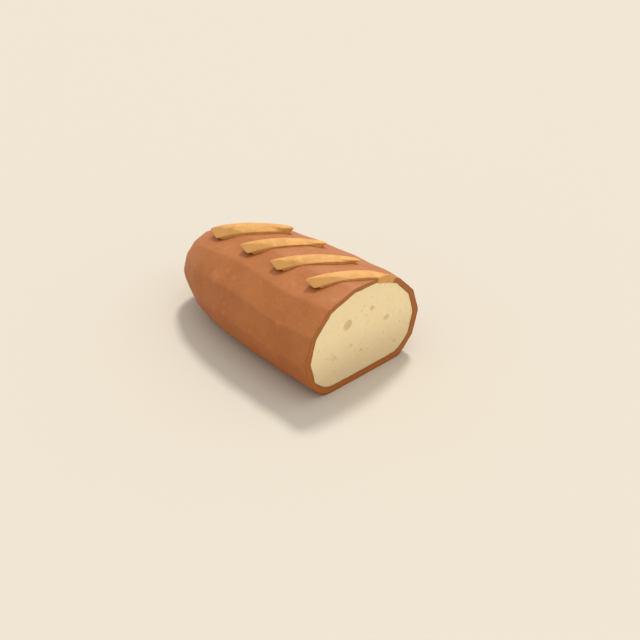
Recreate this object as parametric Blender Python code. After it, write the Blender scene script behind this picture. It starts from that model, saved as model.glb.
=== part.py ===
"""Scored white loaf with one end cut off, as a single solid. Metres, +Z up.

The origin is on the flat base, under the middle of the loaf. +X runs along the loaf to the cut
face and +Y across it. The body is a long rounded form, widest near the cut, pressed flat where it
lay on the oven floor. Four slashes across the top have burst open into raised ridges, and the
knife has opened pores in the crumb.
"""

import math
from typing import NamedTuple

import bmesh
import bpy
from mathutils import Matrix, Vector

# Body. Its section is an ellipse round the core line, and the base takes the ellipse's foot off.
LENGTH = 0.2127
HALF_WIDTH = 0.0650
HALF_HEIGHT = 0.0512
CORE_HEIGHT = 0.0363
WIDEST_X = 0.0635
END_REACH = LENGTH / 2 + WIDEST_X
END_ROUNDNESS = 2.60
BASE_CORNER = 0.0065
BASE_EDGE = 0.0004
BODY_SEGMENTS = 84
BODY_RINGS = 56

# Shaping left broad planes along the loaf with soft corners between them, and low lumps.
PLANE_COUNT = 14
PLANE_SHARE = 0.95
PLANE_CRISPNESS = 0.97
PLANE_WANDER = 0.03
PLANE_WANDER_LENGTH = 0.12
LUMP_RELIEF = 0.011
LUMP_LENGTH = 0.062

# Cut face: the crust's thickness, and how far the softer crumb sits back from it.
CRUST = 0.0054
CRUST_THINNING = 0.35
CRUMB_RECESS = 0.0008
CRUMB_SEGMENTS = 84

# Ridges, as flat-topped bars with blunt slanting ends that stand proud and overhang. Towards the
# near end the top slopes down to the front edge, which keeps a share of the full height.
RIDGE_ROOT = 0.004
RIDGE_NEAR_TAPER = 0.10
RIDGE_FAR_TAPER = 0.5
RIDGE_SKEW = 0.45
RIDGE_BLUNTNESS = 20.0
RIDGE_SQUARENESS = 8.0
RIDGE_OVERHANG = 0.10
RIDGE_FRONT_SHARE = 0.25
RIDGE_SEGMENTS = 28
RIDGE_RINGS = 26
RIDGE_RING_SPACING = 0.6

PORE_SUBDIVISIONS = 2
CUTTER_MARGIN = 0.02

CRUST_COLOUR = (0.43, 0.165, 0.055, 1.0)
CRUST_ROUGHNESS = 0.55


class Slash(NamedTuple):
    """A slash's middle, its turn from straight across, and its ridge's size along the top."""

    x: float
    y: float
    turn: float
    length: float
    width: float
    near_height: float
    middle_height: float
    far_height: float


SLASHES = (
    Slash(-0.0346, 0.0014, math.radians(49.5), 0.0700, 0.0170, 0.0068, 0.0044, 0.0052),
    Slash(0.0103, -0.0005, math.radians(37), 0.0693, 0.0132, 0.0052, 0.0022, 0.0026),
    Slash(0.0524, -0.0030, math.radians(38), 0.0694, 0.0120, 0.0050, 0.0022, 0.0026),
    Slash(0.0951, 0.0061, math.radians(29.5), 0.0840, 0.0114, 0.0053, 0.0017, 0.0030),
)


class Pore(NamedTuple):
    """Large pore of the crumb: its place on the cut face and its half sizes."""

    y: float
    z: float
    half_width: float
    half_height: float
    depth: float


PORES = (
    Pore(-0.0180, 0.0551, 0.0050, 0.0041, 0.0030),
    Pore(0.0089, 0.0599, 0.0028, 0.0023, 0.0018),
    Pore(0.0261, 0.0446, 0.0036, 0.0026, 0.0020),
    Pore(-0.0147, 0.0347, 0.0022, 0.0019, 0.0014),
    Pore(-0.0039, 0.0246, 0.0028, 0.0022, 0.0016),
    Pore(-0.0332, 0.0308, 0.0027, 0.0023, 0.0016),
    Pore(0.0359, 0.0174, 0.0020, 0.0016, 0.0013),
)


def clear_scene():
    for obj in list(bpy.data.objects):
        bpy.data.objects.remove(obj)


def new_collection(name):
    collection = bpy.data.collections.new(name)
    bpy.context.scene.collection.children.link(collection)
    return collection


def crust_material():
    material = bpy.data.materials.new("crust")
    material.use_nodes = True
    shader = material.node_tree.nodes["Principled BSDF"]
    shader.inputs["Base Color"].default_value = CRUST_COLOUR
    shader.inputs["Roughness"].default_value = CRUST_ROUGHNESS
    shader.inputs["Metallic"].default_value = 0.0
    return material


def power(value, exponent):
    """Power that keeps the sign, for superellipses."""
    return math.copysign(abs(value) ** exponent, value)


def swell(x):
    """Share of the widest section at this place along the loaf."""
    reach = min(1.0, abs(x - WIDEST_X) / END_REACH)
    return (1.0 - reach**END_ROUNDNESS) ** (1.0 / END_ROUNDNESS)


def blunt(share):
    """What is left of a ridge's full section at a share of the way from its middle to its end."""
    return (1.0 - min(1.0, abs(share)) ** RIDGE_BLUNTNESS) ** (1.0 / RIDGE_BLUNTNESS)


def relief(x, angle):
    """Radius factor for the planes that run along the loaf and its low lumps."""
    half_count = PLANE_COUNT / 2
    from_middle = math.asin(PLANE_CRISPNESS * math.sin(half_count * angle)) / half_count
    plane = math.cos(math.pi / PLANE_COUNT) / math.cos(from_middle)
    along = 2 * math.pi * x / LUMP_LENGTH
    lumps = math.sin(along + 3 * angle) * math.cos(2 * angle - 0.6 * along + 1.0)
    return 1.0 + PLANE_SHARE * (plane - 1.0) + LUMP_RELIEF * lumps


def wander(x, angle):
    """How far the planes' corners stray to the side on their way along the loaf."""
    return PLANE_WANDER * math.sin(2 * math.pi * x / PLANE_WANDER_LENGTH + 2 * math.sin(angle))


def settle(z):
    """Height after resting on the oven floor: flat below, with a rounded corner."""
    if z >= BASE_CORNER:
        return z
    height = (max(z, -BASE_CORNER) + BASE_CORNER) ** 2 / (4 * BASE_CORNER)
    return height if height > BASE_EDGE else 0.0


def body_point(x, angle, inset=0.0):
    """Point on the surface, or this far inside it. The angle runs from the top towards +Y."""
    size = swell(x) * relief(x, angle)
    turn = angle - wander(x, angle)
    y = (HALF_WIDTH * size - inset) * math.sin(turn)
    z = CORE_HEIGHT + (HALF_HEIGHT * size - inset) * math.cos(turn)
    return Vector((x, y, inset + settle(z - inset)))


def crust_thickness(angle):
    """The crust is thinner over the top than at the sides and under the loaf."""
    return CRUST * (1.0 - CRUST_THINNING * max(0.0, math.cos(angle)) ** 2)


def top_height(x, y):
    """Height of the upper surface over a point of the base, without relief."""
    size = swell(x)
    reach = min(1.0, abs(y) / (HALF_WIDTH * size))
    return CORE_HEIGHT + HALF_HEIGHT * size * math.sqrt(1.0 - reach**2)


def top_normal(x, y):
    step = 0.0002
    slope_x = (top_height(x + step, y) - top_height(x - step, y)) / (2 * step)
    slope_y = (top_height(x, y + step) - top_height(x, y - step)) / (2 * step)
    return Vector((-slope_x, -slope_y, 1.0)).normalized()


def object_from(bm, name, collection):
    mesh = bpy.data.meshes.new(name)
    bmesh.ops.recalc_face_normals(bm, faces=bm.faces)
    bm.to_mesh(mesh)
    bm.free()
    obj = bpy.data.objects.new(name, mesh)
    collection.objects.link(obj)
    return obj


def sphere(segments, rings):
    """Unit sphere with its poles on X."""
    bm = bmesh.new()
    bmesh.ops.create_uvsphere(bm, u_segments=segments, v_segments=rings, radius=1.0)
    bmesh.ops.rotate(bm, verts=bm.verts, matrix=Matrix.Rotation(math.pi / 2, 3, "Y"))
    return bm


def make_body(collection):
    """The whole loaf before it was cut."""
    bm = sphere(BODY_SEGMENTS, BODY_RINGS)
    for vertex in bm.verts:
        x = WIDEST_X + END_REACH * vertex.co.x
        vertex.co = body_point(x, math.atan2(vertex.co.y, vertex.co.z))
    return object_from(bm, "loaf", collection)


def ridge_width(slash, share):
    taper = RIDGE_FAR_TAPER if share > 0 else RIDGE_NEAR_TAPER
    return slash.width * (1.0 - taper * share**2)


def ridge_lift(slash, share, rise, from_front):
    """Height over the crust, from the place along the ridge and the share of the way across."""
    if rise <= 0:
        return rise * RIDGE_ROOT
    lean = (slash.far_height - slash.near_height) / 2
    curl = (slash.far_height + slash.near_height) / 2 - slash.middle_height
    proud = slash.middle_height + lean * share + curl * share**2
    up_slope = min(1.0, from_front / max(-share, 0.001))
    return proud * rise * (RIDGE_FRONT_SHARE + (1.0 - RIDGE_FRONT_SHARE) * up_slope)


def make_ridge(slash, name, collection):
    """The crust that rose through one slash: a bar that follows the loaf's top."""
    along = Vector((math.sin(slash.turn), math.cos(slash.turn)))
    across = Vector((math.cos(slash.turn), -math.sin(slash.turn)))
    bm = sphere(RIDGE_SEGMENTS, RIDGE_RINGS)
    for vertex in bm.verts:
        share = power(vertex.co.x, RIDGE_RING_SPACING)
        angle = math.atan2(vertex.co.z, vertex.co.y)
        side = blunt(share) * power(math.cos(angle), 2 / RIDGE_SQUARENESS)
        rise = blunt(share) * power(math.sin(angle), 2 / RIDGE_SQUARENESS)
        v = ridge_width(slash, share) / 2 * side
        u = slash.length / 2 * share * (1.0 + RIDGE_OVERHANG * (rise - 1.0)) + RIDGE_SKEW * v
        spot = Vector((slash.x, slash.y)) + u * along + v * across
        lift = ridge_lift(slash, share, rise, (1.0 - side) / 2)
        foot = Vector((spot.x, spot.y, top_height(spot.x, spot.y)))
        vertex.co = foot + top_normal(spot.x, spot.y) * lift
    return object_from(bm, name, collection)


def as_cutter(obj):
    obj.hide_render = True
    obj.display_type = "WIRE"
    return obj


def make_knife_cut(collection):
    """Block that takes the cut end away."""
    whole_end = WIDEST_X + END_REACH + CUTTER_MARGIN
    size = Vector((whole_end - LENGTH / 2, 4 * HALF_WIDTH, 4 * HALF_HEIGHT))
    bm = bmesh.new()
    bmesh.ops.create_cube(bm, size=1.0)
    bmesh.ops.scale(bm, verts=bm.verts, vec=size)
    bmesh.ops.translate(bm, verts=bm.verts, vec=((LENGTH / 2 + whole_end) / 2, 0, CORE_HEIGHT))
    return as_cutter(object_from(bm, "knife_cut", collection))


def make_crumb_recess(collection):
    """Shallow disc inside the crust's edge, where the softer crumb sits back."""
    bm = bmesh.new()
    bmesh.ops.create_cone(
        bm, cap_ends=True, segments=CRUMB_SEGMENTS, radius1=1.0, radius2=1.0, depth=2.0
    )
    bmesh.ops.rotate(bm, verts=bm.verts, matrix=Matrix.Rotation(math.pi / 2, 3, "Y"))
    for vertex in bm.verts:
        depth = math.copysign(CRUMB_RECESS, vertex.co.x)
        angle = math.atan2(vertex.co.y, vertex.co.z)
        edge = body_point(LENGTH / 2, angle, crust_thickness(angle))
        vertex.co = edge + Vector((depth, 0, 0))
    return as_cutter(object_from(bm, "crumb_recess", collection))


def make_pore(pore, name, collection):
    bm = bmesh.new()
    bmesh.ops.create_icosphere(bm, subdivisions=PORE_SUBDIVISIONS, radius=1.0)
    bmesh.ops.scale(bm, verts=bm.verts, vec=(pore.depth, pore.half_width, pore.half_height))
    bmesh.ops.translate(bm, verts=bm.verts, vec=(LENGTH / 2 - CRUMB_RECESS, pore.y, pore.z))
    return as_cutter(object_from(bm, name, collection))


def add_boolean(obj, operation, collection):
    modifier = obj.modifiers.new(collection.name, "BOOLEAN")
    modifier.operation = operation
    modifier.operand_type = "COLLECTION"
    modifier.collection = collection
    modifier.solver = "EXACT"


def join_ridges(loaf, ridges):
    """One union, applied, after which the ridges' own objects go."""
    add_boolean(loaf, "UNION", ridges)
    graph = bpy.context.evaluated_depsgraph_get()
    mesh = bpy.data.meshes.new_from_object(loaf.evaluated_get(graph))
    loaf.modifiers.clear()
    loaf.data = mesh
    for obj in list(ridges.objects):
        bpy.data.objects.remove(obj)
    bpy.data.collections.remove(ridges)


def main():
    clear_scene()
    parts = new_collection("cut_loaf")
    loaf = make_body(parts)

    ridges = new_collection("ridges")
    for index, slash in enumerate(SLASHES, start=1):
        make_ridge(slash, f"ridge_{index}", ridges)
    join_ridges(loaf, ridges)

    knife = new_collection("knife")
    make_knife_cut(knife)
    recess = new_collection("recess")
    make_crumb_recess(recess)
    pores = new_collection("pores")
    for index, pore in enumerate(PORES, start=1):
        make_pore(pore, f"pore_{index}", pores)
    for cutters in (knife, recess, pores):
        add_boolean(loaf, "DIFFERENCE", cutters)

    loaf.data.materials.clear()
    loaf.data.materials.append(crust_material())
    loaf.data.shade_smooth()
    loaf.data.set_sharp_from_angle(angle=math.radians(40))


main()
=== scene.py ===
"""Looks of the scored white loaf: browned crust, torn golden scores and an open crumb.

The same surface formula as the loaf's solid gives the outer form, so each piece lies on it. The
planes and scores are slightly crisper here and the crust ring slightly thicker. Metres, +Z up, +X
towards the cut face. Angles round the loaf are measured from its top towards +Y.
"""

import itertools
import math
from typing import NamedTuple

import bmesh
import bpy
import numpy as np
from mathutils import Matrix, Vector


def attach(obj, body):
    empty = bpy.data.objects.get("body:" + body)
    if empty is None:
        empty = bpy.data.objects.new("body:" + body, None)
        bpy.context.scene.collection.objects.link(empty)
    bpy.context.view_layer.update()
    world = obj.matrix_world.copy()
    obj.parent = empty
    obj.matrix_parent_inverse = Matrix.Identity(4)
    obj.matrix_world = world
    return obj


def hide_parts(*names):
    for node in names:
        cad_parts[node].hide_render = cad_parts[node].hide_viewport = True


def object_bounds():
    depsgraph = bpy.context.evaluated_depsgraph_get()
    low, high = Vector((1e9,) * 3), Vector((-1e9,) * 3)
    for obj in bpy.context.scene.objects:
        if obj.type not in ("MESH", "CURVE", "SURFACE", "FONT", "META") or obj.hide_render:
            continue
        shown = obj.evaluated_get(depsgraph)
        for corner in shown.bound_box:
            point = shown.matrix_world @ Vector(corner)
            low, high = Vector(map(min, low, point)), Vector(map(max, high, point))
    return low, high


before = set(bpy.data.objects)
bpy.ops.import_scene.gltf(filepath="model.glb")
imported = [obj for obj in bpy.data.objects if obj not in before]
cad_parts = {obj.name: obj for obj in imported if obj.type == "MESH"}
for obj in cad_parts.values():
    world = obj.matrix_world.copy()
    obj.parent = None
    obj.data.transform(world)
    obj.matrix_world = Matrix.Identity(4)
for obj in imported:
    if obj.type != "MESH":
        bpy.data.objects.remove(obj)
cad_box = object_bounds()

# Body and scores.
LENGTH = 0.2127
HALF_WIDTH = 0.0650
HALF_HEIGHT = 0.0512
CORE_HEIGHT = 0.0363
WIDEST_X = 0.0635
END_REACH = LENGTH / 2 + WIDEST_X
END_ROUNDNESS = 2.60
BASE_CORNER = 0.0065
PLANE_COUNT = 14
PLANE_SHARE = 0.95
PLANE_CRISPNESS = 0.994
PLANE_WANDER = 0.03
PLANE_WANDER_LENGTH = 0.12
LUMP_RELIEF = 0.011
LUMP_LENGTH = 0.062
CRUST = 0.0060
CRUST_THINNING = 0.40
CRUMB_RECESS = 0.0008
RIDGE_ROOT = 0.0052
RIDGE_NEAR_TAPER = 0.10
RIDGE_FAR_TAPER = 0.5
RIDGE_SKEW = 0.45
RIDGE_BLUNTNESS = 20.0
RIDGE_SQUARENESS = 11.0
RIDGE_OVERHANG = 0.10
RIDGE_FRONT_SHARE = 0.25
RIDGE_FRONT_EASE = 0.42
RIDGE_EASE_FULL = 0.42
RIDGE_EASE_END = 0.72
RIDGE_LEAST_SLOPE = 0.001
RIDGE_CREASE_END = 0.22

# Mesh density of the pieces, and how crust ring, crumb and scores meet at the cut face.
CRUST_COLUMNS = 300
CRUST_ROWS = 288
TOP_CROWDING = 0.30
BURST_COLUMNS = 88
BURST_ROWS = 190
BURST_END_CROWDING = 2.2
SECTION_STEPS = 4001
CRUMB_GRID = 236
CRUMB_DEPTH = 0.012
CRUMB_BACK_GAP = 0.001
CRUMB_OVERLAP = 0.0012
FACE_GAP = 0.00005
RING_SETBACK = 0.0003
RING_BANDS = 6
RING_SLOPE = 0.0002
RING_GRAIN = 0.0002
RING_WOBBLE = 0.07

# Fold of the crust beside each score, how far it sinks under the score, and its dark rim.
FOLD_DEPTH = 0.0005
FOLD_WIDTH = 0.0016
FOLD_RAGGEDNESS = 0.45
BED_DEPTH = 0.0012
RIM_WIDTH = 0.0028

# Relief of the crust and of the torn scores.
LUMP_LIFT = 0.00018
BLISTER_LIFT = 0.00016
DIMPLE_DEPTH = 0.00015
GRAIN_LIFT = 0.00005
STRAND_LIFT = 0.00011
CLOD_LIFT = 0.00010
PIT_DEPTH = 0.00018

# Where the knife pressed down the far side of the score it crossed.
PRESSED_LENGTH = 0.013
PRESSED_DEPTH = 0.0019

# Fine pores and roughness of the crumb.
FINE_PORES = 620
FINE_PORE_SIZE = 0.00035
FINE_PORE_SPREAD = 0.0008
FINE_PORE_DEPTH = 0.6
PORE_MARGIN = 1.3
PORE_WOBBLE = 0.12
CRUMB_GRAIN = 0.00010
CRUMB_SWELL = 0.00012
# Pore depth at which the painted shade inside a pore is full.
PORE_SHADE_DEPTH = 0.0015

SEED = 11


class Slash(NamedTuple):
    """Where a slash's middle is, how far it turns from straight across, and its ridge's size."""

    x: float
    y: float
    turn: float
    length: float
    width: float
    near_height: float
    middle_height: float
    far_height: float

    @property
    def along(self):
        return np.array((math.sin(self.turn), math.cos(self.turn)))

    @property
    def across(self):
        return np.array((math.cos(self.turn), -math.sin(self.turn)))


SLASHES = (
    Slash(-0.0346, 0.0014, math.radians(49.5), 0.0700, 0.0170, 0.0068, 0.0044, 0.0052),
    Slash(0.0103, -0.0005, math.radians(37), 0.0693, 0.0132, 0.0052, 0.0022, 0.0026),
    Slash(0.0524, -0.0030, math.radians(38), 0.0694, 0.0120, 0.0050, 0.0022, 0.0026),
    Slash(0.0951, 0.0061, math.radians(29.5), 0.0840, 0.0114, 0.0053, 0.0017, 0.0030),
)


class Pore(NamedTuple):
    """Pore of the crumb: its place on the cut face, its half sizes and its depth."""

    y: float
    z: float
    half_width: float
    half_height: float
    depth: float


PORES = (
    Pore(-0.0180, 0.0551, 0.0050, 0.0041, 0.0030),
    Pore(0.0089, 0.0599, 0.0028, 0.0023, 0.0018),
    Pore(0.0261, 0.0446, 0.0036, 0.0026, 0.0020),
    Pore(-0.0147, 0.0347, 0.0022, 0.0019, 0.0014),
    Pore(-0.0039, 0.0246, 0.0028, 0.0022, 0.0016),
    Pore(-0.0332, 0.0308, 0.0027, 0.0023, 0.0016),
    Pore(0.0359, 0.0174, 0.0020, 0.0016, 0.0013),
)


class Spots(NamedTuple):
    """Scattered round spots: their spacing, their radius, and the share of places left bare."""

    spacing: float
    radius: float
    bare: float
    seed: int


BLISTERS = Spots(0.0085, 0.0038, 0.55, 3)
DIMPLES = Spots(0.0048, 0.0017, 0.60, 5)
PITS = Spots(0.0042, 0.0014, 0.50, 110)


# Noise


def cell_values(cells, seed):
    """Repeatable value from 0 to 1 for each whole-number cell."""
    mixed = cells[..., 0] * 374761393 + cells[..., 1] * 668265263
    mixed = (mixed + cells[..., 2] * 1440662683 + seed * 987654323) & 0xFFFFFFFF
    mixed = ((mixed ^ (mixed >> 13)) * 1274126177) & 0xFFFFFFFF
    mixed = ((mixed ^ (mixed >> 15)) * 2246822519) & 0xFFFFFFFF
    return ((mixed ^ (mixed >> 16)) & 0xFFFF) / 65535


def smooth_noise(points, size, seed):
    """Noise from -1 to 1 whose lumps have about this size."""
    scaled = points / size
    cells = np.floor(scaled).astype(np.int64)
    part = scaled - cells
    ease = part**3 * (part * (part * 6 - 15) + 10)
    total = 0
    for corner in itertools.product((0, 1), repeat=3):
        weight = np.prod(np.where(corner, ease, 1 - ease), axis=-1)
        total = total + weight * cell_values(cells + np.array(corner), SEED + seed)
    return 2 * total - 1


def layered_noise(points, size, seed, layers=3):
    """Smooth noise with finer and weaker layers added."""
    total = 0
    reach = 0
    for layer in range(layers):
        share = 0.5**layer
        total = total + share * smooth_noise(points, size * share, seed + layer)
        reach += share
    return total / reach


def scattered_spots(points, spots, number=0):
    """1 in the middle of each scattered spot, falling to 0 at its radius."""
    seed = SEED + spots.seed + number
    scaled = points / spots.spacing
    cells = np.floor(scaled).astype(np.int64)
    nearest = np.full(points.shape[:-1], 9.0)
    value = np.zeros_like(nearest)
    for offset in itertools.product((-1, 0, 1), repeat=3):
        other = cells + np.array(offset)
        jitter = [cell_values(other, seed + 10 * axis) for axis in range(3)]
        distance = np.linalg.norm(other + np.stack(jitter, -1) - scaled, axis=-1)
        closer = distance < nearest
        value = np.where(closer, cell_values(other, seed + 40), value)
        nearest = np.where(closer, distance, nearest)
    reach = nearest * spots.spacing / spots.radius
    return np.clip(1 - reach**2, 0, 1) ** 2 * (value > spots.bare)


# Form


def power(value, exponent):
    """Power that keeps the sign, for superellipses."""
    return np.sign(value) * np.abs(value) ** exponent


def swell(x):
    """Share of the widest section at this place along the loaf."""
    reach = np.minimum(1.0, np.abs(x - WIDEST_X) / END_REACH)
    return (1.0 - reach**END_ROUNDNESS) ** (1.0 / END_ROUNDNESS)


def blunt(share):
    """What is left of a ridge's full section at a share of the way from its middle to its end."""
    return (1.0 - np.minimum(1.0, np.abs(share)) ** RIDGE_BLUNTNESS) ** (1.0 / RIDGE_BLUNTNESS)


def relief(x, angle):
    """Radius factor for the planes that run along the loaf and its low lumps."""
    half_count = PLANE_COUNT / 2
    from_middle = np.arcsin(PLANE_CRISPNESS * np.sin(half_count * angle)) / half_count
    plane = math.cos(math.pi / PLANE_COUNT) / np.cos(from_middle)
    along = 2 * math.pi * x / LUMP_LENGTH
    lumps = np.sin(along + 3 * angle) * np.cos(2 * angle - 0.6 * along + 1.0)
    return 1.0 + PLANE_SHARE * (plane - 1.0) + LUMP_RELIEF * lumps


def wander(x, angle):
    """How far the planes' corners stray to the side on their way along the loaf."""
    return PLANE_WANDER * np.sin(2 * math.pi * x / PLANE_WANDER_LENGTH + 2 * np.sin(angle))


def settle(z):
    """Height after resting on the oven floor: flat below, with a rounded corner."""
    corner = (z + BASE_CORNER) ** 2 / (4 * BASE_CORNER)
    return np.where(z <= -BASE_CORNER, 0.0, np.where(z >= BASE_CORNER, z, corner))


def body_points(x, angle, inset=0.0):
    """Points on the surface, or this far inside it."""
    size = swell(x) * relief(x, angle)
    turn = angle - wander(x, angle)
    y = (HALF_WIDTH * size - inset) * np.sin(turn)
    z = CORE_HEIGHT + (HALF_HEIGHT * size - inset) * np.cos(turn)
    return np.stack((x + 0 * angle, y, inset + settle(z - inset)), -1)


def crust_thickness(angle):
    """The crust is thinner over the top than at the sides and under the loaf."""
    return CRUST * (1.0 - CRUST_THINNING * np.maximum(0.0, np.cos(angle)) ** 2)


def top_height(x, y):
    """Height of the upper surface over a point of the base, without relief."""
    size = swell(x)
    reach = np.minimum(1.0, np.abs(y) / (HALF_WIDTH * size))
    return CORE_HEIGHT + HALF_HEIGHT * size * np.sqrt(1.0 - reach**2)


def top_normals(x, y):
    step = 0.0002
    slope_x = (top_height(x + step, y) - top_height(x - step, y)) / (2 * step)
    slope_y = (top_height(x, y + step) - top_height(x, y - step)) / (2 * step)
    normal = np.stack((-slope_x, -slope_y, np.ones_like(slope_x)), -1)
    return normal / np.linalg.norm(normal, axis=-1, keepdims=True)


def tube_normals(points):
    """Outward normals of a tube's grid of points, rows first."""
    along = np.gradient(points, axis=0)
    around = np.roll(points, -1, axis=1) - np.roll(points, 1, axis=1)
    normal = np.cross(along, around)
    length = np.linalg.norm(normal, axis=-1, keepdims=True)
    return normal / np.maximum(length, 1e-12)


def smooth_step(low, high, value):
    part = np.clip((value - low) / (high - low), 0, 1)
    return part * part * (3 - 2 * part)


# Meshes


def tube_faces(rows, columns, start=0):
    """Quads that join each row of a closed tube to the next."""
    first = start + np.arange((rows - 1) * columns).reshape(rows - 1, columns)
    second = np.roll(first, -1, axis=1)
    return np.stack((first + columns, second + columns, second, first), -1).reshape(-1, 4).tolist()


def fan_faces(centre, ring):
    """Triangles from one point to a ring of points, turning the way that the ring does."""
    return [(centre, a, b) for a, b in zip(ring.tolist(), np.roll(ring, -1).tolist())]


def new_object(name, points, faces, attributes=()):
    """Smooth mesh held inside the solid's own size."""
    mesh = bpy.data.meshes.new(name)
    held = np.clip(points.reshape(-1, 3), cad_box[0], cad_box[1])
    mesh.from_pydata(held.tolist(), [], [list(face) for face in faces])
    mesh.validate()
    mesh.update()
    for label, values in attributes:
        layer = mesh.attributes.new(label, "FLOAT", "POINT")
        layer.data.foreach_set("value", np.asarray(values, np.float32).ravel())
    mesh.shade_smooth()
    obj = bpy.data.objects.new(name, mesh)
    bpy.context.scene.collection.objects.link(obj)
    return obj


def finish_piece(obj, material):
    obj.data.materials.append(material)
    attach(obj, "root")
    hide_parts("loaf")


# Crust


def slash_distance(points, slash):
    """Distance outside the foot of a slash's ridge, seen from above."""
    offset = points[..., :2] - np.array((slash.x, slash.y))
    across = offset @ slash.across
    along = offset @ slash.along - RIDGE_SKEW * across
    foot = slash.length / 2 * (1 - RIDGE_OVERHANG)
    beside = np.abs(across) - ridge_width(slash, np.clip(along / foot, -1, 1)) / 2
    past_end = np.abs(along) - foot
    outside = np.hypot(np.maximum(beside, 0), np.maximum(past_end, 0))
    return np.where(outside > 0, outside, np.maximum(beside, past_end))


def crust_angles():
    """Angles of the crust's columns, closer together over the top than underneath."""
    turn = 2 * math.pi * np.arange(CRUST_COLUMNS) / CRUST_COLUMNS
    return turn - TOP_CROWDING * np.sin(turn)


def crust_surface():
    """Grid of points of the crust's outside, with how browned each one is, darker near the base
    partly as painted shade.
    """
    last = math.asin((LENGTH / 2 - WIDEST_X) / END_REACH)
    latitude = np.linspace(-math.pi / 2, last, CRUST_ROWS + 1)[1:]
    x = (WIDEST_X + END_REACH * np.sin(latitude))[:, None]
    x[-1] = LENGTH / 2 - RING_SETBACK / 2
    angle = crust_angles()[None, :]
    points = body_points(x, angle)
    normals = tube_normals(points)

    height = points[..., 2]
    upper = smooth_step(0.004, 0.020, height)
    blisters = scattered_spots(points, BLISTERS)
    dimples = scattered_spots(points, DIMPLES)
    lumps = layered_noise(points, size=0.016, seed=20)
    grain = layered_noise(points, size=0.0034, seed=30)
    lift = LUMP_LIFT * lumps + BLISTER_LIFT * blisters - DIMPLE_DEPTH * dimples + GRAIN_LIFT * grain

    fold = np.zeros_like(height)
    rim = np.zeros_like(height)
    facing = smooth_step(0.55, 0.75, height / (CORE_HEIGHT + HALF_HEIGHT))
    for number, slash in enumerate(SLASHES):
        distance = slash_distance(points, slash)
        past_foot = np.maximum(distance, 0)
        ragged = 1 + FOLD_RAGGEDNESS * smooth_noise(points, size=0.006, seed=60 + number)
        outside = np.exp(-past_foot / FOLD_WIDTH) * smooth_step(-0.0012, 0.0004, distance)
        fold = fold + facing * FOLD_DEPTH * ragged * outside
        fold = fold + facing * BED_DEPTH * smooth_step(0.0, -0.002, distance)
        rim = np.maximum(rim, facing * np.exp(-past_foot / RIM_WIDTH))
    points = points + normals * (upper * lift - fold)[..., None]
    points[..., 2] = np.where(height <= 0, 0, np.maximum(points[..., 2], 0.0))
    browning_and_base_shade = 0.5 + 0.14 * lumps + 0.30 * rim - 0.20 * blisters + 0.15 * dimples
    # Darker towards the base: browner bottom crust, and partly painted shade low on the loaf.
    browning_and_base_shade = browning_and_base_shade + 0.25 * smooth_step(0.030, 0.0, height)
    return points, np.clip(browning_and_base_shade, 0, 1)


def ring_surface(bands):
    """Rows of the crust's cut edge, from its outside inwards, and one row deep in the loaf."""
    angle = crust_angles()
    face_x = np.array([LENGTH / 2])
    round_face = np.stack((np.sin(angle), np.cos(angle), 0 * angle), -1)
    wobble = RING_WOBBLE * layered_noise(round_face, size=0.26, seed=80, layers=2)
    ring = []
    for share in bands:
        inset = crust_thickness(angle) * share * (1 + wobble * share)
        band = body_points(face_x, angle, inset=inset)
        band[..., 0] -= RING_SLOPE * share**2
        ring.append(band)
    deep = ring[-1].copy()
    deep[..., 0] -= CRUMB_DEPTH
    ring = np.array(ring + [deep])
    ring[..., 0] -= RING_SETBACK
    ring[:-1, :, 0] += RING_GRAIN * layered_noise(ring[:-1], size=0.0022, seed=70)
    return ring


def make_crust(material):
    outside, browning_and_base_shade = crust_surface()
    bands = np.linspace(0, 1, RING_BANDS + 1)[1:]
    ring = ring_surface(bands)
    tip = outside[0].mean(axis=0, keepdims=True)
    middle = [[LENGTH / 2 - CRUMB_DEPTH, 0, CORE_HEIGHT]]
    points = np.concatenate((tip, outside.reshape(-1, 3), ring.reshape(-1, 3), middle))
    first = 1 + np.arange(CRUST_COLUMNS)
    last = len(points) - 1 - CRUST_COLUMNS + np.arange(CRUST_COLUMNS)
    faces = tube_faces(CRUST_ROWS + len(ring), CRUST_COLUMNS, start=1)
    faces += fan_faces(0, first) + fan_faces(len(points) - 1, last[::-1])
    on_outside = np.zeros(1 + browning_and_base_shade.size)
    inward = np.concatenate((on_outside, np.repeat(np.append(bands, 1), CRUST_COLUMNS), [1]))
    browning_and_base_shade_values = np.concatenate(([0.5], browning_and_base_shade.ravel(), np.full(ring[..., 0].size + 1, 0.5)))
    crust = new_object("crust", points, faces, (("browning_and_base_shade", browning_and_base_shade_values), ("inward", inward)))
    finish_piece(crust, material)


# Scores


def even_angles(width, height, count):
    """Angles of a squared section whose points lie about evenly round it."""
    angle = np.linspace(0, 2 * math.pi, SECTION_STEPS)
    side = width / 2 * power(np.cos(angle), 2 / RIDGE_SQUARENESS)
    reach = np.where(angle < math.pi, height, 0.5 * RIDGE_ROOT)
    rise = reach * power(np.sin(angle), 2 / RIDGE_SQUARENESS)
    travelled = np.append(0, np.cumsum(np.hypot(np.diff(side), np.diff(rise))))
    return np.interp(np.linspace(0, travelled[-1], count, endpoint=False), travelled, angle)


def ridge_width(slash, share):
    taper = np.where(share > 0, RIDGE_FAR_TAPER, RIDGE_NEAR_TAPER)
    return slash.width * (1 - taper * share**2)


def crease(share):
    """Share of the way across where the sloping near face of a ridge meets its top."""
    return np.maximum(0, (-share - RIDGE_CREASE_END) / (1 - RIDGE_CREASE_END))


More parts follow.
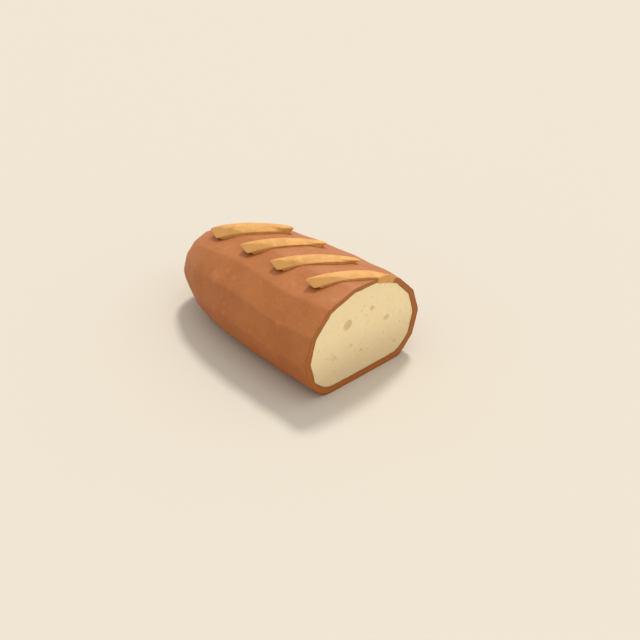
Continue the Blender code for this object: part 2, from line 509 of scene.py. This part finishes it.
def ridge_lift(slash, share, rise, from_front):
    """Height over the crust, from the place along the ridge and the share of the way across."""
    lean = (slash.far_height - slash.near_height) / 2
    curl = (slash.far_height + slash.near_height) / 2 - slash.middle_height
    proud = slash.middle_height + lean * share + curl * share**2
    ease = RIDGE_FRONT_EASE * smooth_step(RIDGE_EASE_END, RIDGE_EASE_FULL, share)
    slope_width = np.maximum(np.maximum(crease(share), ease), RIDGE_LEAST_SLOPE)
    up_slope = np.minimum(1, from_front / slope_width)
    top = proud * rise * (RIDGE_FRONT_SHARE + (1 - RIDGE_FRONT_SHARE) * up_slope)
    return np.where(rise > 0, top, rise * RIDGE_ROOT)


def ridge_point(slash, share, angle):
    """Point of a slash's ridge, with its place in the ridge's own directions."""
    side = blunt(share) * power(np.cos(angle), 2 / RIDGE_SQUARENESS)
    rise = blunt(share) * power(np.sin(angle), 2 / RIDGE_SQUARENESS)
    v = ridge_width(slash, share) / 2 * side
    u = slash.length / 2 * share * (1 + RIDGE_OVERHANG * (rise - 1)) + RIDGE_SKEW * v
    x = slash.x + u * slash.along[0] + v * slash.across[0]
    y = slash.y + u * slash.along[1] + v * slash.across[1]
    lift = ridge_lift(slash, share, rise, (1 - side) / 2)
    foot = np.stack((x, y, top_height(x, y)), -1)
    return foot + top_normals(x, y) * lift[..., None], np.stack((u, v, lift), -1), side, rise


def cut_flat(obj):
    """Takes away what stands past the cut face and closes the end."""
    bm = bmesh.new()
    bm.from_mesh(obj.data)
    everything = list(bm.verts) + list(bm.edges) + list(bm.faces)
    place = (LENGTH / 2 - FACE_GAP, 0, 0)
    cut = bmesh.ops.bisect_plane(
        bm, geom=everything, plane_co=place, plane_no=(1, 0, 0), clear_outer=True, dist=1e-7
    )
    edges = [item for item in cut["geom_cut"] if isinstance(item, bmesh.types.BMEdge)]
    end = bmesh.ops.edgeloop_fill(bm, edges=edges)["faces"]
    for edge in edges:
        edge.smooth = False
    bmesh.ops.triangulate(bm, faces=end)
    bmesh.ops.recalc_face_normals(bm, faces=bm.faces)
    bm.to_mesh(obj.data)
    bm.free()


def burst_surface(number, slash):
    """Grid of points of one torn score, how toasted each is, and painted shade on its sloping near
    face.
    """
    angle = even_angles(slash.width, slash.near_height, BURST_COLUMNS)
    part = np.linspace(-1, 1, BURST_ROWS + 2)[1:-1, None]
    share = np.sign(part) * (1 - (1 - np.abs(part)) ** BURST_END_CROWDING)
    points, inside, side, rise = ridge_point(slash, share, angle)
    normals = tube_normals(points)
    stretched = inside * np.array((1.0, 0.30, 0.5))
    strands = layered_noise(stretched, size=0.0042, seed=90 + number)
    clods = layered_noise(points, size=0.0060, seed=100 + number)
    pits = scattered_spots(points, PITS, number)
    up = smooth_step(-0.1, 0.3, rise)
    lift = STRAND_LIFT * strands + CLOD_LIFT * clods - PIT_DEPTH * pits
    points = points + normals * (up * lift)[..., None]
    pressed = smooth_step(LENGTH / 2 - PRESSED_LENGTH, LENGTH / 2, points[..., 0])
    points[..., 2] -= PRESSED_DEPTH * pressed * smooth_step(0.5, -0.8, side) * up
    toast = np.clip(0.42 + 0.30 * strands + 0.25 * clods - 0.4 * pits, 0, 1)
    # Painted shade: the sloping near face is marked to be darker than the top.
    painted_slope_shade = smooth_step(0.0, 0.08, crease(share) - (1 - side) / 2) * smooth_step(0.0, 0.1, rise)
    return points, toast, painted_slope_shade


def make_burst(number, slash, material):
    """Torn golden crust that rose through one slash."""
    points, toast, painted_slope_shade = burst_surface(number, slash)
    tips = ridge_point(slash, np.array((-1.0, 1.0)), np.array((0.3, 0.3)))[0]
    all_points = np.concatenate((points.reshape(-1, 3), tips))
    first = np.arange(BURST_COLUMNS)
    last = first + (BURST_ROWS - 1) * BURST_COLUMNS
    low_tip = BURST_ROWS * BURST_COLUMNS
    faces = tube_faces(BURST_ROWS, BURST_COLUMNS)
    faces += fan_faces(low_tip, first) + fan_faces(low_tip + 1, last[::-1])
    toast_all = np.concatenate((toast.ravel(), [0.5, 0.5]))
    painted_slope_shade_all = np.concatenate((painted_slope_shade.ravel(), [0.5, 0.5]))
    values = (("toast", toast_all), ("painted_slope_shade", painted_slope_shade_all))
    burst = new_object(f"score_{number + 1}", all_points, faces, values)
    if all_points[:, 0].max() > LENGTH / 2 - FACE_GAP:
        cut_flat(burst)
    finish_piece(burst, material)


# Crumb


def disc_grid(count):
    """Square grid mapped onto the unit disc, evenly dense."""
    line = np.linspace(-1, 1, count)
    a, b = np.meshgrid(line, line, indexing="ij")
    wide = np.abs(a) > np.abs(b)
    radius = np.where(wide, a, b)
    with np.errstate(divide="ignore", invalid="ignore"):
        turn = np.where(wide, math.pi / 4 * b / a, math.pi / 2 - math.pi / 4 * a / b)
    turn = np.nan_to_num(turn)
    return radius * np.cos(turn), radius * np.sin(turn)


def small_pores():
    """Scattered fine pores: place, half sizes and depth, all drawn from one seed."""
    draw = np.random.default_rng(SEED)
    pores = []
    for _ in range(FINE_PORES):
        spread = math.sqrt(draw.random())
        turn = draw.random() * 2 * math.pi
        y = HALF_WIDTH * spread * math.sin(turn)
        z = CORE_HEIGHT + HALF_HEIGHT * spread * math.cos(turn)
        width = FINE_PORE_SIZE + FINE_PORE_SPREAD * draw.random() ** 3
        pores.append(Pore(y, z, width, width * draw.uniform(0.6, 1.1), width * FINE_PORE_DEPTH))
    return pores


def pore_depths(flat):
    """How deep the pores are at points of the cut face."""
    y = flat[..., 1]
    z = flat[..., 2]
    depth = np.zeros_like(y)
    for pore in list(PORES) + small_pores():
        side = (y - pore.y) / pore.half_width
        rise = (z - pore.z) / pore.half_height
        near = (np.abs(side) < PORE_MARGIN) & (np.abs(rise) < PORE_MARGIN)
        if not near.any():
            continue
        wobble = 1 + PORE_WOBBLE * smooth_noise(flat[near], size=pore.half_width, seed=130)
        share = np.hypot(side[near], rise[near]) * wobble
        bowl = pore.depth * np.sqrt(np.clip(1 - share**2, 0, 1))
        depth[near] = np.maximum(depth[near], bowl)
    return depth


def crumb_surface():
    """Square grid of points of the cut crumb, and how deep each lies in a pore."""
    a, b = disc_grid(CRUMB_GRID)
    reach = np.hypot(a, b)
    angle = np.arctan2(a, b)
    edge = body_points(np.array([LENGTH / 2]), angle, inset=crust_thickness(angle) - CRUMB_OVERLAP)
    y = edge[..., 1] * reach
    z = CORE_HEIGHT + (edge[..., 2] - CORE_HEIGHT) * reach
    flat = np.stack((0 * y, y, z), -1)
    depth = pore_depths(flat)
    grain = CRUMB_GRAIN * layered_noise(flat, size=0.0014, seed=140)
    swells = CRUMB_SWELL * smooth_noise(flat, size=0.006, seed=150)
    flat[..., 0] = LENGTH / 2 - CRUMB_RECESS + (grain + swells) - depth
    return flat, depth


def make_crumb(material):
    """Cut face of the crumb, closed behind as a shallow plug inside the crust."""
    front, depth = crumb_surface()
    index = np.arange(CRUMB_GRID**2).reshape(CRUMB_GRID, CRUMB_GRID)
    quads = np.stack((index[:-1, :-1], index[1:, :-1], index[1:, 1:], index[:-1, 1:]), -1)
    border = np.concatenate((index[0, :-1], index[:-1, -1], index[-1, :0:-1], index[:0:-1, 0]))
    back_x = LENGTH / 2 - CRUMB_DEPTH + CRUMB_BACK_GAP
    back = front.reshape(-1, 3)[border].copy()
    back[:, 0] = back_x
    points = np.concatenate((front.reshape(-1, 3), back, [[back_x, 0, CORE_HEIGHT]]))
    ring = CRUMB_GRID**2 + np.arange(len(border))
    sides = np.stack((border, np.roll(border, -1), np.roll(ring, -1), ring), -1)
    faces = quads.reshape(-1, 4).tolist() + sides.tolist() + fan_faces(len(points) - 1, ring)
    # Painted shade inside the pores, darker the deeper the pore.
    pore_shade = np.concatenate((np.clip(depth / PORE_SHADE_DEPTH, 0, 1).ravel(), np.zeros(len(border) + 1)))
    crumb = new_object("crumb", points, faces, (("pore_shade", pore_shade),))
    finish_piece(crumb, material)


# Materials


class Shader:
    """Small helper that adds nodes to one material."""

    def __init__(self, name):
        self.material = bpy.data.materials.new(name)
        self.material.use_nodes = True
        self.tree = self.material.node_tree
        self.surface = self.tree.nodes["Principled BSDF"]

    def node(self, kind, settings=(), **inputs):
        node = self.tree.nodes.new(kind)
        for label, value in dict(settings).items():
            setattr(node, label, value)
        for label, value in inputs.items():
            self.connect(value, node.inputs[label.replace("_", " ")])
        return node

    def connect(self, value, socket):
        if isinstance(value, bpy.types.NodeSocket):
            self.tree.links.new(value, socket)
        else:
            socket.default_value = value

    def attribute(self, label):
        return self.node("ShaderNodeAttribute", {"attribute_name": label}).outputs["Fac"]

    def place(self):
        return self.node("ShaderNodeTexCoord").outputs["Object"]

    def noise(self, scale, detail=3.0, roughness=0.55):
        node = self.node(
            "ShaderNodeTexNoise", Vector=self.place(), Scale=scale, Detail=detail, Roughness=roughness
        )
        return node.outputs["Fac"]

    def either_side(self, value, amount):
        """A value from 0 to 1 spread over this amount, half of it below 0."""
        return self.math("MULTIPLY_ADD", value, amount, -amount / 2)

    def crackle(self, scale, line_width=0.045):
        """Thin lines between cells, strongest where a broad noise is high."""
        node = self.node(
            "ShaderNodeTexVoronoi", {"feature": "DISTANCE_TO_EDGE"}, Vector=self.place(), Scale=scale
        )
        line = self.math("LESS_THAN", node.outputs["Distance"], line_width)
        where = self.math("MULTIPLY_ADD", self.noise(90.0), 5.0, -2.4)
        where = self.math("MINIMUM", self.math("MAXIMUM", where, 0.0), 1.0)
        return self.math("MULTIPLY", line, where)

    def height(self, low, high):
        """0 at one height and 1 at another."""
        place = self.node("ShaderNodeSeparateXYZ", Vector=self.place()).outputs["Z"]
        node = self.node("ShaderNodeMapRange", {"interpolation_type": "SMOOTHSTEP"}, Value=place)
        node.inputs["From Min"].default_value = low
        node.inputs["From Max"].default_value = high
        return node.outputs["Result"]

    def math(self, operation, first, second=0.0, third=0.0):
        node = self.node("ShaderNodeMath", {"operation": operation})
        for socket, value in zip(node.inputs, (first, second, third)):
            self.connect(value, socket)
        return node.outputs[0]

    def ramp(self, value, stops):
        node = self.node("ShaderNodeValToRGB", Fac=value)
        ramp = node.color_ramp
        while len(ramp.elements) < len(stops):
            ramp.elements.new(0.5)
        for element, (position, colour) in zip(ramp.elements, stops):
            element.position = position
            element.color = (*colour, 1.0)
        return node.outputs["Color"]

    def mix(self, share, first, second, blend="MIX"):
        node = self.node("ShaderNodeMix", {"data_type": "RGBA", "blend_type": blend})
        self.connect(share, node.inputs[0])
        self.connect(first, node.inputs[6])
        self.connect(second, node.inputs[7])
        return node.outputs[2]

    def bump(self, height, distance, strength=1.0):
        node = self.node("ShaderNodeBump", Height=height, Distance=distance, Strength=strength)
        self.tree.links.new(node.outputs["Normal"], self.surface.inputs["Normal"])

    def set(self, **values):
        for label, value in values.items():
            self.connect(value, self.surface.inputs[label.replace("_", " ")])


CRUST_PALE = (0.540, 0.214, 0.070)
CRUST_MID = (0.458, 0.152, 0.0385)
CRUST_DARK = (0.330, 0.093, 0.019)
# Painted warm bounce light and shade: below the first height the crust's colour is multiplied by this
# tint, fully from the second height down.
PAINTED_BOUNCE_TINT = (0.95, 0.84, 0.60)
PAINTED_BOUNCE_TOP = 0.088
PAINTED_BOUNCE_FULL = 0.015
RING_OUTER = (0.350, 0.106, 0.017)
RING_MID = (0.430, 0.145, 0.025)
RING_INNER = (0.370, 0.115, 0.017)
BURST_PALE = (0.76, 0.410, 0.131)
BURST_MID = (0.68, 0.335, 0.091)
BURST_DARK = (0.57, 0.250, 0.058)
# Colour of the painted shade on the scores' sloping near faces.
BURST_SLOPE_SHADE = (0.560, 0.272, 0.073)
CRUMB_PALE = (1.0, 0.805, 0.482)
# Painted shade: the crumb darkens towards this colour low on the cut face, fully at the first height
# below and not at all above the second.
CRUMB_LOW_SHADE = (0.74, 0.58, 0.345)
CRUMB_SHADE_FULL = 0.008
CRUMB_SHADE_END = 0.055
# Colour of the painted shade in the pores, also mixed in by the crumb's random mottling.
CRUMB_PORE_SHADE = (0.84, 0.66, 0.37)


def crust_material():
    shader = Shader("crust")
    patches = shader.noise(scale=60.0)
    specks = shader.noise(scale=620.0, detail=4.0)
    crackle = shader.crackle(scale=300.0)
    # This attribute holds real browning and also painted shade near the base.
    value = shader.math("ADD", shader.attribute("browning_and_base_shade"), shader.either_side(patches, 0.30))
    value = shader.math("ADD", value, shader.either_side(specks, 0.36))
    value = shader.math("ADD", value, shader.math("MULTIPLY", crackle, 0.10))
    baked = shader.ramp(value, ((0.10, CRUST_PALE), (0.5, CRUST_MID), (0.95, CRUST_DARK)))
    inward = shader.attribute("inward")
    inside = shader.ramp(inward, ((0.0, RING_OUTER), (0.35, RING_MID), (1.0, RING_INNER)))
    on_ring = shader.math("GREATER_THAN", inward, 0.02)
    colour = shader.mix(on_ring, baked, inside)
    # Painted bounce light and shade: warmer, less blue crust low on the loaf.
    low = shader.height(PAINTED_BOUNCE_TOP, PAINTED_BOUNCE_FULL)
    colour = shader.mix(low, colour, (*PAINTED_BOUNCE_TINT, 1), "MULTIPLY")
    fine = shader.noise(scale=1500.0, detail=5.0, roughness=0.6)
    rough = shader.math("MULTIPLY_ADD", specks, 0.25, 0.42)
    shader.set(Base_Color=colour, Roughness=rough, Specular_IOR_Level=0.35)
    height = shader.math("ADD", fine, specks)
    height = shader.math("SUBTRACT", height, shader.math("MULTIPLY", crackle, 0.5))
    shader.bump(height, distance=0.0003, strength=0.5)
    return shader.material


def burst_material():
    shader = Shader("score")
    patches = shader.noise(scale=160.0)
    fine = shader.noise(scale=1300.0, detail=5.0, roughness=0.65)
    value = shader.math("ADD", shader.attribute("toast"), shader.either_side(patches, 0.6))
    colour = shader.ramp(value, ((0.1, BURST_PALE), (0.5, BURST_MID), (0.98, BURST_DARK)))
    # Painted shade: the sloping near face of each score is darkened towards this colour.
    on_painted_slope_shade = shader.math("MULTIPLY", shader.attribute("painted_slope_shade"), 0.85)
    colour = shader.mix(on_painted_slope_shade, colour, (*BURST_SLOPE_SHADE, 1))
    shader.set(Base_Color=colour, Roughness=0.62, Specular_IOR_Level=0.3)
    shader.bump(fine, distance=0.0003, strength=0.6)
    return shader.material


def crumb_material():
    shader = Shader("crumb")
    fine = shader.noise(scale=1700.0, detail=5.0, roughness=0.6)
    soft = shader.noise(scale=260.0)
    # Painted shade in the pores, by their depth.
    pore_shade = shader.attribute("pore_shade")
    shade = shader.math("MULTIPLY_ADD", soft, 0.3, -0.1)
    # Painted shade: crumb darker towards the bottom of the cut face.
    high = shader.height(CRUMB_SHADE_FULL, CRUMB_SHADE_END)
    crumb_with_low_shade = shader.mix(high, (*CRUMB_LOW_SHADE, 1), (*CRUMB_PALE, 1))
    colour = shader.mix(shader.math("ADD", pore_shade, shade), crumb_with_low_shade, (*CRUMB_PORE_SHADE, 1))
    shader.set(Base_Color=colour, Roughness=0.85, Specular_IOR_Level=0.2)
    shader.set(Subsurface_Weight=0.25, Subsurface_Radius=(1.0, 0.6, 0.3), Subsurface_Scale=0.003)
    shader.bump(fine, distance=0.0004, strength=0.5)
    return shader.material


# Setting

CAMERA_PLACE = (0.5198, -0.4316, 0.4161)
CAMERA_TILT = math.radians(58.679)
CAMERA_HEADING = math.radians(47.210)
LENS_MM = 49.46
SENSOR_MM = 36
FLOOR_COLOUR = (0.660, 0.607, 0.518)
FLOOR_PATCHES = (0.605, 0.556, 0.477)
FLOOR_SIZE = 8.0
SKY_COLOUR = (1.0, 0.985, 0.96)
SKY_LOW = 0.60
SKY_HIGH = 0.90
KEY_STRENGTH = 1.9
KEY_SPREAD = math.radians(10)
KEY_FROM = (-0.28, 0.47, 0.84)
KEY_COLOUR = (1.0, 0.97, 0.92)
FILL_FROM = (0.95, 0.10, 0.30)
FILL_STRENGTH = 0.30
FILL_SPREAD = math.radians(70)
FILL_COLOUR = (1.0, 0.96, 0.90)


def make_floor():
    bpy.ops.mesh.primitive_plane_add(size=FLOOR_SIZE)
    floor = bpy.context.object
    floor.name = "floor"
    shader = Shader("floor")
    patches = shader.math("MULTIPLY", shader.noise(scale=9.0), 0.06)
    colour = shader.mix(patches, (*FLOOR_COLOUR, 1), (*FLOOR_PATCHES, 1))
    shader.set(Base_Color=colour, Roughness=0.9, Specular_IOR_Level=0.1)
    floor.data.materials.append(shader.material)


def make_sun(name, towards, strength, spread, colour):
    lamp = bpy.data.lights.new(name, "SUN")
    lamp.energy = strength
    lamp.angle = spread
    lamp.color = colour
    sun = bpy.data.objects.new(name, lamp)
    sun.rotation_euler = Vector(towards).to_track_quat("Z", "Y").to_euler()
    bpy.context.scene.collection.objects.link(sun)


def make_light():
    """Soft sky, brightest overhead, with a small sun and a weak, broad one on the cut face."""
    world = bpy.data.worlds.new("room")
    bpy.context.scene.world = world
    world.use_nodes = True
    tree = world.node_tree
    background = tree.nodes["Background"]
    background.inputs["Color"].default_value = (*SKY_COLOUR, 1)
    direction = tree.nodes.new("ShaderNodeTexCoord").outputs["Generated"]
    split = tree.nodes.new("ShaderNodeSeparateXYZ")
    tree.links.new(direction, split.inputs[0])
    glow = tree.nodes.new("ShaderNodeMapRange")
    tree.links.new(split.outputs["Z"], glow.inputs["Value"])
    glow.inputs["To Min"].default_value = SKY_LOW
    glow.inputs["To Max"].default_value = SKY_HIGH
    tree.links.new(glow.outputs["Result"], background.inputs["Strength"])
    make_sun("key", KEY_FROM, KEY_STRENGTH, KEY_SPREAD, KEY_COLOUR)
    make_sun("fill", FILL_FROM, FILL_STRENGTH, FILL_SPREAD, FILL_COLOUR)


def make_camera():
    lens = bpy.data.cameras.new("camera")
    lens.lens = LENS_MM
    lens.sensor_width = SENSOR_MM
    lens.clip_start = 0.01
    camera = bpy.data.objects.new("camera", lens)
    camera.location = CAMERA_PLACE
    camera.rotation_euler = (CAMERA_TILT, 0, CAMERA_HEADING)
    bpy.context.scene.collection.objects.link(camera)
    bpy.context.scene.camera = camera


make_camera()
crust_look = crust_material()
burst_look = burst_material()
make_crust(crust_look)
for number, slash in enumerate(SLASHES):
    make_burst(number, slash, burst_look)
make_crumb(crumb_material())
make_floor()
make_light()

bpy.context.scene.view_settings.view_transform = "Standard"
